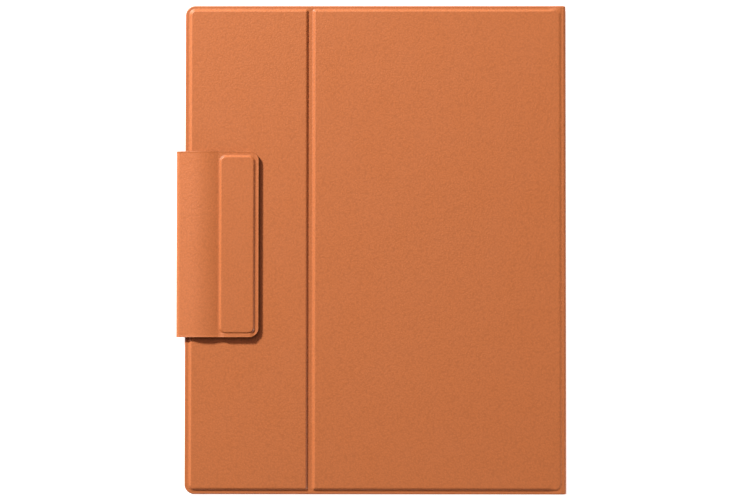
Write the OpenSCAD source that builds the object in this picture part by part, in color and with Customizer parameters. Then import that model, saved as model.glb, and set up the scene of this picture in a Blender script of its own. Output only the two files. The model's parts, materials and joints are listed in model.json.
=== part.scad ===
// E-reader in a folio case with a magnetic clasp.
// Millimetres. X runs towards the spine, Y up the page, Z towards the reader's eye.
// The origin is at the middle of the underside, which lies on the table.

/* [Folio] */
// Width of the closed folio, free edge to spine
folio_w = 188.3; // [186:0.1:196]
// Height of the folio
folio_h = 241.5; // [238:0.5:250]
// Radius of the corners at the free edge
free_corner_r = 4.8; // [3:0.1:7]
// Thickness of the outer skin
skin_t = 0.7; // [0.6:0.05:0.8]
// Thickness of the boards inside the covers
board_t = 1.0; // [0.9:0.05:1.2]
// Thickness of the soft lining
lining_t = 0.5; // [0.4:0.05:0.6]
// Width of the flat rim at the free, top and bottom edges
rim_w = 1.5; // [1.3:0.1:1.8]
// Width of the sloping edge of an embossed panel
slope_w = 1.7; // [1.4:0.1:2]
// Distance from the free edge to the middle of the fold groove
fold_offset = 61.45; // [55:0.05:66]
// Width of the floor of the fold groove
fold_floor_w = 1.9; // [1.7:0.1:2.6]
// Thickness of the spine, lining to skin
spine_t = 2.15; // [2.15:0.05:2.5]

/* [Clasp] */
// Height of the clasp along the free edge
clasp_h = 92; // [70:0.1:110]
// Height of the clasp's middle above the folio's middle
clasp_y = 2.5; // [-10:0.1:10]
// Reach of the clasp over the cover, from the free edge
clasp_reach = 36.6; // [34:0.1:44]
// Thickness of the clasp strap
strap_t = 1.2; // [1:0.05:1.3]
// Width of the raised magnet pad
pad_w = 18.2; // [17:0.1:20]
// Height of the magnet pad above the strap
pad_rise = 0.9; // [0.8:0.05:0.95]
// Height of the inner pad that rests over the cover, below the strap
inner_pad_rise = 0.3; // [0.3:0.05:0.7]
// How far the rolled strap stands proud of the free edge
clasp_proud = 4.3; // [4.1:0.1:4.5]

/* [Reader] */
// Width of the reader
reader_w = 183; // [181:0.1:183]
// Height of the reader
reader_h = 235; // [230:0.1:236]
// Thickness of the reader
reader_t = 4.6; // [4.6:0.1:5.6]
// Radius of the reader's corners
reader_r = 6; // [4:0.5:9]
// Width of the visible page
page_w = 157.2; // [150:0.1:158]
// Height of the visible page
page_h = 209.6; // [200:0.1:210]
// Travel of the power button
button_travel = 0.3; // [0.2:0.05:0.3]

/* [Hidden] */
$fn = 64;

// Colours
leather = [0.78, 0.46, 0.27];
lining_colour = [0.55, 0.38, 0.28];
board_colour = [0.72, 0.66, 0.56];
graphite = [0.16, 0.165, 0.17];
steel = [0.75, 0.76, 0.78];
circuit_green = [0.08, 0.3, 0.2];
flex_amber = [0.75, 0.45, 0.12];

// Heights of the layers above the table
folio_t = skin_t + board_t + lining_t;
cover_gap = 0.3;
reader_z0 = folio_t;
reader_z1 = reader_z0 + reader_t;
cover_z0 = reader_z1 + cover_gap;
cover_z1 = cover_z0 + folio_t;
emboss = board_t;
back_rim_z = emboss;
cover_rim_z = cover_z1 - emboss;

// Plan of the folio
free_x = -folio_w / 2;
spine_x1 = folio_w / 2;
spine_x0 = spine_x1 - spine_t;
joint_gap = 0.3;
cover_x1 = spine_x0 - joint_gap;
fold_x = free_x + fold_offset;
half_h = folio_h / 2;
spine_corner_r = 1.0;
panel_corner_r = 3.2;
fold_corner_r = 1.6;
board_inset = 1.2;

// Heights of the spine's two hinge lines
lower_hinge_z = 1.4;
upper_hinge_z = cover_z1 - 1.35;

// Spine
spine_z0 = lower_hinge_z + 0.4;
spine_z1 = upper_hinge_z - 0.45;
spine_skin_t = 0.7;
spine_board_t = 0.8;
spine_board_inset = 2;
spine_round_r = 1.0;

// Clasp
clasp_y0 = clasp_y - clasp_h / 2;
clasp_y1 = clasp_y + clasp_h / 2;
clasp_gap = 0.3;
tongue_z0 = cover_z1 + clasp_gap + inner_pad_rise;
tongue_z1 = tongue_z0 + strap_t;
tongue_lining_t = 0.4;
root_z0 = back_rim_z;
root_z1 = folio_t;
roll_r = ((tongue_z0 + tongue_z1) - (root_z0 + root_z1)) / 4;
roll_z = (tongue_z0 + tongue_z1 + root_z0 + root_z1) / 4;
roll_x = free_x - clasp_proud + roll_r + strap_t / 2;
joint_half_angle = 5;
tongue_x1 = free_x + clasp_reach;
tongue_corner_r = 4.7;
pad_x1 = tongue_x1 - 1.8;
pad_x0 = pad_x1 - pad_w;
pad_margin_y = 1.5;
pad_slope = 0.8;
pad_corner_r = 3.3;
stiffener_t = 1.1;
stiffener_inset = 1;
stiffener_corner_r = 2;

// Magnets, and the room round each in the layer that holds it
magnet_w = 11;
magnet_h = 24;
magnet_pitch = 28;
holding_magnet_w = 8;
holding_magnet_h = 40;
reader_magnet_w = 6;
reader_magnet_t = 1;
wake_magnet_r = 4;
magnet_room = 0.1;

// Reader
reader_x0 = free_x + 2.4;
reader_x1 = reader_x0 + reader_w;
reader_xc = (reader_x0 + reader_x1) / 2;
half_reader_h = reader_h / 2;
wall_t = 1.3;
floor_t = 0.8;
lens_t = 0.5;
floor_z = reader_z0 + floor_t;
lens_z = reader_z1 - lens_t;
mask_t = 0.1;
guide_t = 0.4;
epaper_t = 0.5;
digitizer_t = 0.25;
frame_t = 0.3;
flex_t = 0.15;
lead_t = 0.1;
mask_z = lens_z - mask_t;
guide_z = mask_z - guide_t;
epaper_z = guide_z - epaper_t;
digitizer_z = epaper_z - digitizer_t;
frame_z = digitizer_z - frame_t;
stack_w = 163;
stack_h = 216;
screw_r = 0.7;
screw_head_r = 1.3;
screw_head_t = 0.5;
screw_socket_r = 0.55;
boss_r = 1.6;
screw_bore_r = 0.75;
led_count = 19;
led_pitch = 8;
led_w = 2;
led_h = 0.9;
led_strip_h = 1.8;
led_strip_t = 0.15;
led_top = 0.38;
port_w = 9.0;
port_h = 3.0;
port_wall = 0.3;
port_depth = 7.3;
port_z = floor_z + port_h / 2;
port_setback = 0.6;
port_back_t = 0.8;
port_tongue_w = 6.7;
port_tongue_t = 0.7;
hole_spacing = 2.4;
speaker_holes = 6;
speaker_hole_r = 0.6;
speaker_x = 52;
speaker_w = 24;
speaker_h = 7;
speaker_t = 2.8;
button_x = reader_x0 + 24;
button_w = 12;
button_h = 1.8;
button_z = reader_z0 + 2;
button_proud = 0.4;
button_clearance = 0.15;
flange_t = 0.5;
switch_gap = 0.1;
microphone_x = reader_x0 + 60;
microphone_hole_r = 0.4;
light_x = reader_x0 + 40;
light_hole_r = 0.6;
light_pipe_r = 0.55;
light_pipe_l = 2.95;
board_y = 91;
board_w = 150;
board_h = 28;
board_z0 = floor_z + 0.15;
board_z1 = board_z0 + 0.6;
shield_t = 0.2;
part_gap = 0.1;
battery_x = 35;
battery_w = 64;
battery_y0 = -62;
battery_y1 = 50;
battery_corner_r = 1.5;
battery_z0 = floor_z + 0.05;
flange_y = half_reader_h - wall_t - 0.1;

screw_places = [for (sx = [-1, 1], sy = [-1, 0, 1])
    [reader_xc + sx * (reader_w / 2 - 4), sy * (half_reader_h - 14)]];
tongue_magnet_places = [for (i = [-1:1])
    [(pad_x0 + pad_x1) / 2, clasp_y + i * magnet_pitch]];
holding_magnet_places = [for (sx = [-1, 1], sy = [-1, 1])
    [reader_xc + sx * 76, sy * 56]];
wake_magnet_place = [74, -30];

// A rectangle from corner to corner, with one radius at its left corners and one at its right corners
module outline(x0, x1, y0, y1, r_left, r_right) {
    translate([x0 + r_left, y0]) square([x1 - x0 - r_left - r_right, y1 - y0]);
    if (r_left > 0) {
        translate([x0, y0 + r_left]) square([r_left, y1 - y0 - 2 * r_left]);
        for (y = [y0 + r_left, y1 - r_left]) translate([x0 + r_left, y]) circle(r_left);
    }
    if (r_right > 0) {
        translate([x1 - r_right, y0 + r_right]) square([r_right, y1 - y0 - 2 * r_right]);
        for (y = [y0 + r_right, y1 - r_right]) translate([x1 - r_right, y]) circle(r_right);
    }
}

// A flat plate of that outline, between two heights
module plate(x0, x1, y0, y1, z0, z1, r_left, r_right) {
    translate([0, 0, z0]) linear_extrude(z1 - z0) outline(x0, x1, y0, y1, r_left, r_right);
}

// A box between two corners
module block(x0, x1, y0, y1, z0, z1) {
    translate([x0, y0, z0]) cube([x1 - x0, y1 - y0, z1 - z0]);
}

// A box of a given size, centred in plan and standing on a height
module chip(x, y, w, h, z0, z1) {
    block(x - w / 2, x + w / 2, y - h / 2, y + h / 2, z0, z1);
}

// A raised panel whose four sides slope inwards, from its base height to its face height
module embossed(x0, x1, y0, y1, base_z, face_z, slope, r_left, r_right) {
    intersection() {
        plate(x0, x1, y0, y1, min(base_z, face_z), max(base_z, face_z), r_left, r_right);
        translate([0, y1 + 1, 0]) rotate([90, 0, 0]) linear_extrude(y1 - y0 + 2)
            polygon([[x0, base_z], [x1, base_z], [x1 - slope, face_z], [x0 + slope, face_z]]);
        translate([x0 - 1, 0, 0]) rotate([90, 0, 90]) linear_extrude(x1 - x0 + 2)
            polygon([[y0, base_z], [y1, base_z], [y1 - slope, face_z], [y0 + slope, face_z]]);
    }
}

// A stadium-shaped bar along Y, used for the port and its opening
module stadium_bar(x, z, w, h, y0, y1) {
    translate([x, y1, z]) rotate([90, 0, 0]) linear_extrude(y1 - y0) {
        square([w - h, h], center = true);
        for (s = [-1, 1]) translate([s * (w - h) / 2, 0]) circle(h / 2);
    }
}

// A wedge from the roll's axis, between two angles measured from straight down towards the free side
module roll_wedge(a0, a1, r) {
    steps = 4;
    polygon([[0, 0], for (i = [0:steps]) let (a = a0 + (a1 - a0) * i / steps) r * [-sin(a), -cos(a)]]);
}

// Part of the strap's roll, between two such angles
module roll_arc(a0, a1, r_in, r_out) {
    translate([roll_x, clasp_y1, roll_z]) rotate([90, 0, 0]) linear_extrude(clasp_h)
        intersection() {
            difference() {
                circle(r_out);
                circle(r_in);
            }
            roll_wedge(a0, a1, 3 * r_out);
        }
}

// Bar magnets at a list of places, or with some room round each, the pockets for them
module magnets(places, w, h, z0, z1, room = 0) {
    for (p = places) chip(p[0], p[1], w + 2 * room, h + 2 * room, z0, z1);
}

// ---------- Back cover ----------

module back_panel_area(inset, z0, z1) {
    plate(free_x + rim_w + inset, cover_x1 - inset, -half_h + rim_w + inset, half_h - rim_w - inset,
          z0, z1, panel_corner_r, panel_corner_r);
}

module clasp_notch() {
    block(free_x - 1, free_x + rim_w, clasp_y0, clasp_y1, -1, folio_t + 1);
}

module back_skin() color(leather) difference() {
    union() {
        plate(free_x, cover_x1, -half_h, half_h, back_rim_z, back_rim_z + skin_t,
              free_corner_r, spine_corner_r);
        embossed(free_x + rim_w, cover_x1, -half_h + rim_w, half_h - rim_w, back_rim_z, 0,
                 slope_w, panel_corner_r, panel_corner_r);
    }
    back_panel_area(board_inset, skin_t, skin_t + board_t + 1);
    clasp_notch();
}

module back_board() color(board_colour) difference() {
    back_panel_area(board_inset, skin_t, skin_t + board_t);
    magnets(holding_magnet_places, holding_magnet_w, holding_magnet_h, 0, folio_t, magnet_room);
}

module back_magnets() color(steel)
    magnets(holding_magnet_places, holding_magnet_w, holding_magnet_h, skin_t, skin_t + board_t);

module back_lining() color(lining_colour) difference() {
    plate(free_x, cover_x1, -half_h, half_h, folio_t - lining_t, folio_t, free_corner_r, spine_corner_r);
    clasp_notch();
}

// ---------- Spine ----------

module spine_layer(x0, x1, inset_y, r_out) {
    translate([0, half_h - inset_y, 0]) rotate([90, 0, 0]) linear_extrude(folio_h - 2 * inset_y)
        outline(x0, x1, spine_z0, spine_z1, 0, r_out);
}

module spine_skin() color(leather) difference() {
    spine_layer(spine_x0, spine_x1, 0, spine_round_r);
    block(spine_x0 - 1, spine_x1 - spine_skin_t, -half_h - 1, half_h + 1, spine_z0 - 1, spine_z1 + 1);
}

module spine_board() color(board_colour)
    spine_layer(spine_x1 - spine_skin_t - spine_board_t, spine_x1 - spine_skin_t, spine_board_inset, 0);

module spine_lining() color(lining_colour) difference() {
    spine_layer(spine_x0, spine_x1 - spine_skin_t, 0, 0);
    spine_layer(spine_x1 - spine_skin_t - spine_board_t, spine_x1, spine_board_inset, 0);
}

// ---------- Front cover: main panel ----------

module panel_area(inset, z0, z1) {
    plate(fold_x + fold_floor_w / 2 + inset, cover_x1 - inset, -half_h + rim_w + inset,
          half_h - rim_w - inset, z0, z1, fold_corner_r, panel_corner_r);
}

module panel_skin() color(leather) difference() {
    union() {
        plate(fold_x + joint_gap / 2, cover_x1, -half_h, half_h, cover_rim_z - skin_t, cover_rim_z,
              0, spine_corner_r);
        embossed(fold_x + fold_floor_w / 2, cover_x1, -half_h + rim_w, half_h - rim_w, cover_rim_z, cover_z1,
                 slope_w, fold_corner_r, panel_corner_r);
    }
    panel_area(board_inset, cover_z0, cover_z1 - skin_t);
}

module panel_board() color(board_colour) difference() {
    panel_area(board_inset, cover_z0 + lining_t, cover_z1 - skin_t);
    translate([wake_magnet_place[0], wake_magnet_place[1], cover_z0])
        cylinder(h = folio_t, r = wake_magnet_r + magnet_room);
}

module wake_magnet() color(steel)
    translate([wake_magnet_place[0], wake_magnet_place[1], cover_z0 + lining_t])
        cylinder(h = board_t, r = wake_magnet_r);

module panel_lining() color(lining_colour)
    plate(fold_x + joint_gap / 2, cover_x1, -half_h, half_h, cover_z0, cover_z0 + lining_t,
          0, spine_corner_r);

// ---------- Front cover: strip ----------

module strip_area(inset, z0, z1) {
    plate(free_x + rim_w + inset, fold_x - fold_floor_w / 2 - inset, -half_h + rim_w + inset,
          half_h - rim_w - inset, z0, z1, panel_corner_r, fold_corner_r);
}

module strip_skin() color(leather) difference() {
    union() {
        plate(free_x, fold_x - joint_gap / 2, -half_h, half_h, cover_rim_z - skin_t, cover_rim_z,
              free_corner_r, 0);
        embossed(free_x + rim_w, fold_x - fold_floor_w / 2, -half_h + rim_w, half_h - rim_w,
                 cover_rim_z, cover_z1, slope_w, panel_corner_r, fold_corner_r);
    }
    strip_area(board_inset, cover_z0, cover_z1 - skin_t);
}

module strip_board() color(board_colour) difference() {
    strip_area(board_inset, cover_z0 + lining_t, cover_z1 - skin_t);
    magnets(tongue_magnet_places, magnet_w, magnet_h, cover_z0, cover_z1, magnet_room);
}

module keeper_magnets() color(steel)
    magnets(tongue_magnet_places, magnet_w, magnet_h, cover_z0 + lining_t, cover_z1 - skin_t);

module strip_lining() color(lining_colour)
    plate(free_x, fold_x - joint_gap / 2, -half_h, half_h, cover_z0, cover_z0 + lining_t, free_corner_r, 0);

// ---------- Clasp ----------

module clasp_root_strap() color(leather) {
    roll_arc(0, 45 - joint_half_angle, roll_r - strap_t / 2, roll_r + strap_t / 2);
    block(roll_x, free_x + rim_w, clasp_y0, clasp_y1, root_z0, root_z1);
}

module clasp_wall_strap() color(leather)
    roll_arc(45 + joint_half_angle, 135 - joint_half_angle, roll_r - strap_t / 2, roll_r + strap_t / 2);

module clasp_stiffener_area() {
    plate(pad_x0 + stiffener_inset, pad_x1 - stiffener_inset,
          clasp_y0 + pad_margin_y + stiffener_inset, clasp_y1 - pad_margin_y - stiffener_inset,
          tongue_z0 + tongue_lining_t, tongue_z0 + tongue_lining_t + stiffener_t,
          stiffener_corner_r, stiffener_corner_r);
}

module clasp_tongue_skin() color(leather) difference() {
    union() {
        roll_arc(135 + joint_half_angle, 180, roll_r - strap_t / 2 + tongue_lining_t, roll_r + strap_t / 2);
        plate(roll_x, tongue_x1, clasp_y0, clasp_y1, tongue_z0 + tongue_lining_t, tongue_z1,
              0, tongue_corner_r);
        embossed(pad_x0, pad_x1, clasp_y0 + pad_margin_y, clasp_y1 - pad_margin_y, tongue_z1,
                 tongue_z1 + pad_rise, pad_slope, pad_corner_r, pad_corner_r);
    }
    clasp_stiffener_area();
}

module clasp_tongue_lining() color(leather) {
    roll_arc(135 + joint_half_angle, 180, roll_r - strap_t / 2, roll_r - strap_t / 2 + tongue_lining_t);
    plate(roll_x, tongue_x1, clasp_y0, clasp_y1, tongue_z0, tongue_z0 + tongue_lining_t,
          0, tongue_corner_r);
    embossed(pad_x0, pad_x1, clasp_y0 + pad_margin_y, clasp_y1 - pad_margin_y, tongue_z0,
             tongue_z0 - inner_pad_rise, pad_slope, pad_corner_r, pad_corner_r);
}

module clasp_stiffener() color(board_colour) difference() {
    clasp_stiffener_area();
    magnets(tongue_magnet_places, magnet_w, magnet_h, tongue_z0, tongue_z1 + pad_rise, magnet_room);
}

module clasp_magnets() color(steel)
    magnets(tongue_magnet_places, magnet_w, magnet_h, tongue_z0 + tongue_lining_t,
            tongue_z0 + tongue_lining_t + stiffener_t);

// ---------- Reader: casing ----------

module reader_plate(inset, z0, z1) {
    plate(reader_x0 + inset, reader_x1 - inset, -half_reader_h + inset, half_reader_h - inset, z0, z1,
          reader_r - inset, reader_r - inset);
}

// A round hole through the casing's wall, on the lower edge (side -1) or the upper edge (side 1)
module wall_hole(side, x, z, r) {
    translate([x, 0, z]) rotate([-90 * side, 0, 0]) translate([0, 0, half_reader_h - wall_t - 1])
        cylinder(h = wall_t + 2, r = r);
}

module rear_shell() color(graphite) difference() {
    union() {
        difference() {
            reader_plate(0, reader_z0, lens_z);
            reader_plate(wall_t, floor_z, lens_z + 1);
        }
        for (p = screw_places) translate([p[0], p[1], floor_z - 0.1])
            cylinder(h = frame_z - floor_z + 0.1, r = boss_r);
    }
    for (p = screw_places) translate([p[0], p[1], floor_z]) cylinder(h = reader_t, r = screw_bore_r);
    stadium_bar(reader_xc, port_z, port_w - 2 * port_wall, port_h - 2 * port_wall,
                -half_reader_h - 1, -half_reader_h + wall_t + 1);
    for (s = [-1, 1], i = [0:speaker_holes - 1])
        wall_hole(-1, reader_xc + s * speaker_x + (i - (speaker_holes - 1) / 2) * hole_spacing, port_z,
                  speaker_hole_r);
    wall_hole(1, microphone_x, port_z, microphone_hole_r);
    wall_hole(1, light_x, button_z, light_hole_r);
    stadium_bar(button_x, button_z, button_w + 2 * button_clearance, button_h + 2 * button_clearance,
                half_reader_h - wall_t - 1, half_reader_h + 1);
}

module front_frame() color(graphite) difference() {
    reader_plate(0, lens_z, reader_z1);
    reader_plate(wall_t, lens_z - 1, reader_z1 + 1);
}

module front_lens() color([0.8, 0.85, 0.88, 0.4]) reader_plate(wall_t, lens_z, reader_z1);

module bezel_mask() color([0.1, 0.1, 0.105]) difference() {
    reader_plate(wall_t + 0.1, mask_z, lens_z);
    chip(reader_xc, 0, page_w, page_h, mask_z - 1, lens_z + 1);
}

// ---------- Reader: display ----------

module light_guide() color([0.9, 0.93, 0.95, 0.6])
    chip(reader_xc, 0, stack_w, stack_h, guide_z, mask_z);

module led_bar() color([0.95, 0.9, 0.6]) {
    chip(reader_xc, stack_h / 2 + 1.1, stack_w - 8, led_strip_h, guide_z, guide_z + led_strip_t);
    for (i = [0:led_count - 1])
        chip(reader_xc + (i - (led_count - 1) / 2) * led_pitch, stack_h / 2 + 0.8, led_w, led_h,
             guide_z + led_strip_t, guide_z + led_top);
}

module epaper_panel() color([0.86, 0.86, 0.83])
    chip(reader_xc, 0, stack_w, stack_h, epaper_z, guide_z);

module panel_flex() color(flex_amber)
    chip(reader_xc, stack_h / 2 + 2, 60, 4, epaper_z, epaper_z + flex_t);

module digitizer_board() color(circuit_green)
    chip(reader_xc, 0, stack_w, stack_h, digitizer_z, epaper_z);

module mid_frame() color(steel) difference() {
    reader_plate(wall_t + 0.2, frame_z, digitizer_z);
    block(reader_xc - port_w / 2 - 1, reader_xc + port_w / 2 + 1,
          -half_reader_h, -half_reader_h + port_depth + 2, frame_z - 1, digitizer_z + 1);
    for (s = [-1, 1])
        chip(reader_xc + s * speaker_x, -half_reader_h + 5, speaker_w + 1, 8.6, frame_z - 1, digitizer_z + 1);
    chip(button_x, half_reader_h - 2.5, button_w + 4, 5, frame_z - 1, digitizer_z + 1);
    for (p = screw_places) translate([p[0], p[1], frame_z - 1]) cylinder(h = 3, r = screw_bore_r);
}

module frame_screws() color(steel) for (p = screw_places) translate([p[0], p[1], 0]) {
    translate([0, 0, floor_z + 0.2]) cylinder(h = digitizer_z - floor_z - 0.2, r = screw_r);
    difference() {
        translate([0, 0, digitizer_z]) cylinder(h = screw_head_t, r = screw_head_r);
        translate([0, 0, digitizer_z + screw_head_t / 2]) cylinder(h = 1, r = screw_socket_r, $fn = 6);
    }
}

// ---------- Reader: electronics ----------

module main_board() color(circuit_green) {
    chip(reader_xc, board_y, board_w, board_h, board_z0, board_z1);
    chip(reader_xc - 20, 70, 20, 16, board_z0, board_z1);
}

// A shield can over part of the main board, open underneath
module shield(x, w, h) difference() {
    chip(x, board_y, w, h, board_z1, frame_z - part_gap);
    chip(x, board_y, w - 2 * shield_t, h - 2 * shield_t, board_z1 - 1, frame_z - part_gap - shield_t);
}

module processor_shield() color(steel) shield(reader_xc - 30, 40, 24);

module power_shield() color(steel) shield(reader_xc + 32, 30, 20);

module battery_cells() color([0.12, 0.12, 0.13]) for (s = [-1, 1])
    plate(reader_xc + s * battery_x - battery_w / 2, reader_xc + s * battery_x + battery_w / 2,
          battery_y0, battery_y1, battery_z0, frame_z - part_gap, battery_corner_r, battery_corner_r);

module battery_lead() color(flex_amber)
    chip(reader_xc, 63.5, 9, 27, battery_z0, battery_z0 + lead_t);

module usb_c_port() color(steel) {
    y0 = -half_reader_h + wall_t;
    difference() {
        stadium_bar(reader_xc, port_z, port_w, port_h, y0, y0 + port_depth);
        stadium_bar(reader_xc, port_z, port_w - 2 * port_wall, port_h - 2 * port_wall,
                    y0 - 1, y0 + port_depth - port_back_t);
    }
    block(reader_xc - port_tongue_w / 2, reader_xc + port_tongue_w / 2,
          y0 + port_setback, y0 + port_depth - port_back_t + 0.1,
          port_z - port_tongue_t / 2, port_z + port_tongue_t / 2);
}

module speakers() color([0.05, 0.05, 0.05]) for (s = [-1, 1])
    chip(reader_xc + s * speaker_x, -half_reader_h + wall_t + part_gap + speaker_h / 2, speaker_w, speaker_h,
         floor_z, floor_z + speaker_t);

module microphone() color(steel)
    chip(microphone_x, half_reader_h - wall_t - 1.5, 3.6, 2.8, floor_z, frame_z - part_gap);

module hall_sensor() color([0.05, 0.05, 0.05])
    chip(wake_magnet_place[0], wake_magnet_place[1], 3, 3, floor_z, floor_z + 1);

module antenna() color(flex_amber)
    chip(reader_x0 + 3.2, 40, 2.6, 60, floor_z, floor_z + 0.2);

module status_light_pipe() color([0.9, 0.9, 0.9])
    translate([light_x, 0, button_z]) rotate([-90, 0, 0])
        translate([0, 0, half_reader_h - 3]) cylinder(h = light_pipe_l, r = light_pipe_r);

module reader_magnets() color(steel)
    magnets(holding_magnet_places, reader_magnet_w, holding_magnet_h, floor_z, floor_z + reader_magnet_t);

// ---------- Reader: power button ----------

module power_button_cap() color([0.1, 0.1, 0.1]) {
    stadium_bar(button_x, button_z, button_w, button_h, flange_y - flange_t, half_reader_h + button_proud);
    block(button_x - button_w / 2 - 1, button_x + button_w / 2 + 1, flange_y - flange_t, flange_y,
          floor_z + 0.1, button_z + button_h / 2 + 0.1);
}

module power_switch() color(steel) {
    y1 = flange_y - flange_t - button_travel - switch_gap;
    chip(button_x, y1 - 0.8, 4, 1.2, floor_z, button_z + 0.8);
    translate([button_x, y1, button_z]) rotate([90, 0, 0]) cylinder(h = 0.4, r = 0.7);
}

back_skin();
back_board();
back_lining();
back_magnets();
spine_skin();
spine_board();
spine_lining();
panel_skin();
panel_board();
panel_lining();
wake_magnet();
strip_skin();
strip_board();
strip_lining();
keeper_magnets();
clasp_root_strap();
clasp_wall_strap();
clasp_tongue_skin();
clasp_tongue_lining();
clasp_stiffener();
clasp_magnets();
rear_shell();
front_frame();
front_lens();
bezel_mask();
light_guide();
led_bar();
epaper_panel();
panel_flex();
digitizer_board();
mid_frame();
frame_screws();
main_board();
processor_shield();
power_shield();
battery_cells();
battery_lead();
usb_c_port();
speakers();
microphone();
hall_sensor();
antenna();
status_light_pipe();
power_button_cap();
power_switch();
reader_magnets();
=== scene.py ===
"""Looks of an e-reader in a closed leather folio, whose clasp rolls over the free edge."""

import json
import math

import bpy
import numpy as np
from mathutils import Matrix, Vector


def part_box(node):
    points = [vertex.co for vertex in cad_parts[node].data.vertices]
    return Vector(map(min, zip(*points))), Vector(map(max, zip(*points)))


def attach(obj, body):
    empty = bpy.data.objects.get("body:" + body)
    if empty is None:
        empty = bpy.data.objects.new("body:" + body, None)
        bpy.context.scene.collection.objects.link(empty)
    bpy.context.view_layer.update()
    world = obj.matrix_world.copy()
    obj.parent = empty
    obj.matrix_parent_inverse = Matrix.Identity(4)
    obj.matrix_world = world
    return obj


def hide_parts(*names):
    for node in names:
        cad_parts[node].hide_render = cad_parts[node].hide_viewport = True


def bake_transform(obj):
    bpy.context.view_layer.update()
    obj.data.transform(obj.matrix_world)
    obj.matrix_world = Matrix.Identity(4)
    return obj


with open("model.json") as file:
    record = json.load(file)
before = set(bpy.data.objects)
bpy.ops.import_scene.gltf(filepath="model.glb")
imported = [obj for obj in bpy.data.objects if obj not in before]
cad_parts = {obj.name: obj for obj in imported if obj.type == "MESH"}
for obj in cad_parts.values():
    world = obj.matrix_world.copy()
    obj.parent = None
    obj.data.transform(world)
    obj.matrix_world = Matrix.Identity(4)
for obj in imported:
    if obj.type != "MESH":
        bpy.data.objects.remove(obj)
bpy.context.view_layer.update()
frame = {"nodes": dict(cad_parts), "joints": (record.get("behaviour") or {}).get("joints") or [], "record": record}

MM = 0.001

# ---------------------------------------------------------------- sizes, from the frame

JOINTS = {joint["name"]: joint for joint in frame["joints"]}
panel_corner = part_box("panel_skin")[1]
strip_board_low, strip_board_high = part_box("strip_board")
panel_board_low, panel_board_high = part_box("panel_board")
back_board_low, back_board_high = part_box("back_board")
tongue_low, tongue_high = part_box("clasp_tongue_skin")

FREE_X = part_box("strip_skin")[0].x
FOLD_X = JOINTS["strip_fold"]["pos_m"][0]
COVER_X1 = panel_corner.x
SPINE_INNER_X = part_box("spine_lining")[0].x
SPINE_X1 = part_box("spine_skin")[1].x
HALF_H = panel_corner.y
BACK_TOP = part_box("back_lining")[1].z
COVER_Z0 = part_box("panel_lining")[0].z
COVER_Z1 = panel_corner.z
MID_Z = (BACK_TOP + COVER_Z0) / 2

# Heights in a cover, measured outwards from its lined face
FACE_RISE = COVER_Z1 - COVER_Z0
RIM_RISE = FACE_RISE - 1.0 * MM
SPINE_SIDE_RISE = FACE_RISE - 0.3 * MM
SKIN_T = 0.7 * MM
LINING_T = 0.5 * MM

# The skin thins where it is turned in along the rim, and meets the lining's face at the spine
TURN_IN_RISE = 0.15 * MM
TURN_IN_W, TURN_IN_FADE = 1.3 * MM, 0.3 * MM
SPINE_MEET_W, SPINE_MEET_FADE = 1.2 * MM, 0.4 * MM

# Embossed panels, from above: the foot of a slope is this far outside the panel's board
BOARD_INSET = 1.2 * MM
TOP_INSET, BOTTOM_INSET = 1.55 * MM, 1.2 * MM
SLOPE_W, FOLD_SLOPE_W, SPINE_SLOPE_W = 1.9 * MM, 1.5 * MM, 1.2 * MM
SPINE_FADE = 7 * MM
GROOVE_LEFT, GROOVE_RIGHT = 0.4 * MM, 1.13 * MM
FREE_CORNER_R, SPINE_CORNER_R = 4.8 * MM, 0.9 * MM
PANEL_CORNER_R, FOLD_CORNER_R = 3.4 * MM, 1.8 * MM
EDGE_ROLL = 0.5 * MM

# Lining pad. Its groove at a fold has a floor twice as wide as each of its slopes
LINING_ROLL = 0.2 * MM
LINING_SPINE_GAP = 0.15 * MM
LINING_CORNER_R = 3.0 * MM
LINING_GROOVE_DEPTH = 0.25 * MM
LINING_GROOVE_SLOPE_W = 1.2 * MM

# Clasp strap, from its root in the back cover's rim to its tip. The root keeps a share of the thickness
STRAP_T = 1.2 * MM
STRAP_OUTER_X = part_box("clasp_wall_strap")[0].x
CLASP_Y0, CLASP_Y1 = tongue_low.y, tongue_high.y
TIP_X = tongue_high.x
TIP_CORNER_R = 4.7 * MM
ROOT_MID_Z = 1.6 * MM
ROOT_DEPTH = 1.1 * MM
ROOT_SHARE = 0.62
ROOT_THIN_L, ROOT_THIN_FADE = 0.6 * MM, 3 * MM
LOWER_CORNER_L, UPPER_CORNER_L = 4.9 * MM, 2.9 * MM
CREST_L, ARCH_L, LEVEL_L = 3.4 * MM, 15.0 * MM, 0.5 * MM
CREST_ANGLE, DIP_ANGLE = math.radians(13.0), math.radians(-8.0)
STRAP_ROLL = 0.14 * MM
LIP_RISE, LIP_W = 0.14 * MM, 1.1 * MM

# Clasp pad
PAD_RISE, INNER_PAD_RISE = 0.9 * MM, 0.25 * MM
PAD_W = 17.95 * MM
PAD_SLOPE, PAD_RIGHT_SLOPE = 1.25 * MM, 1.3 * MM
PAD_TO_TIP = 1.7 * MM
PAD_MARGIN_LOW, PAD_MARGIN_HIGH = 1.5 * MM, 1.9 * MM
PAD_CORNER_R = 3.3 * MM
LOWER_MARGIN_RISE = 0.55 * MM
LOWER_MARGIN_FADE_U, LOWER_MARGIN_FADE_V = 3 * MM, 2 * MM
TONGUE_MID_Z = tongue_high.z - PAD_RISE - STRAP_T / 2

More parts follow.
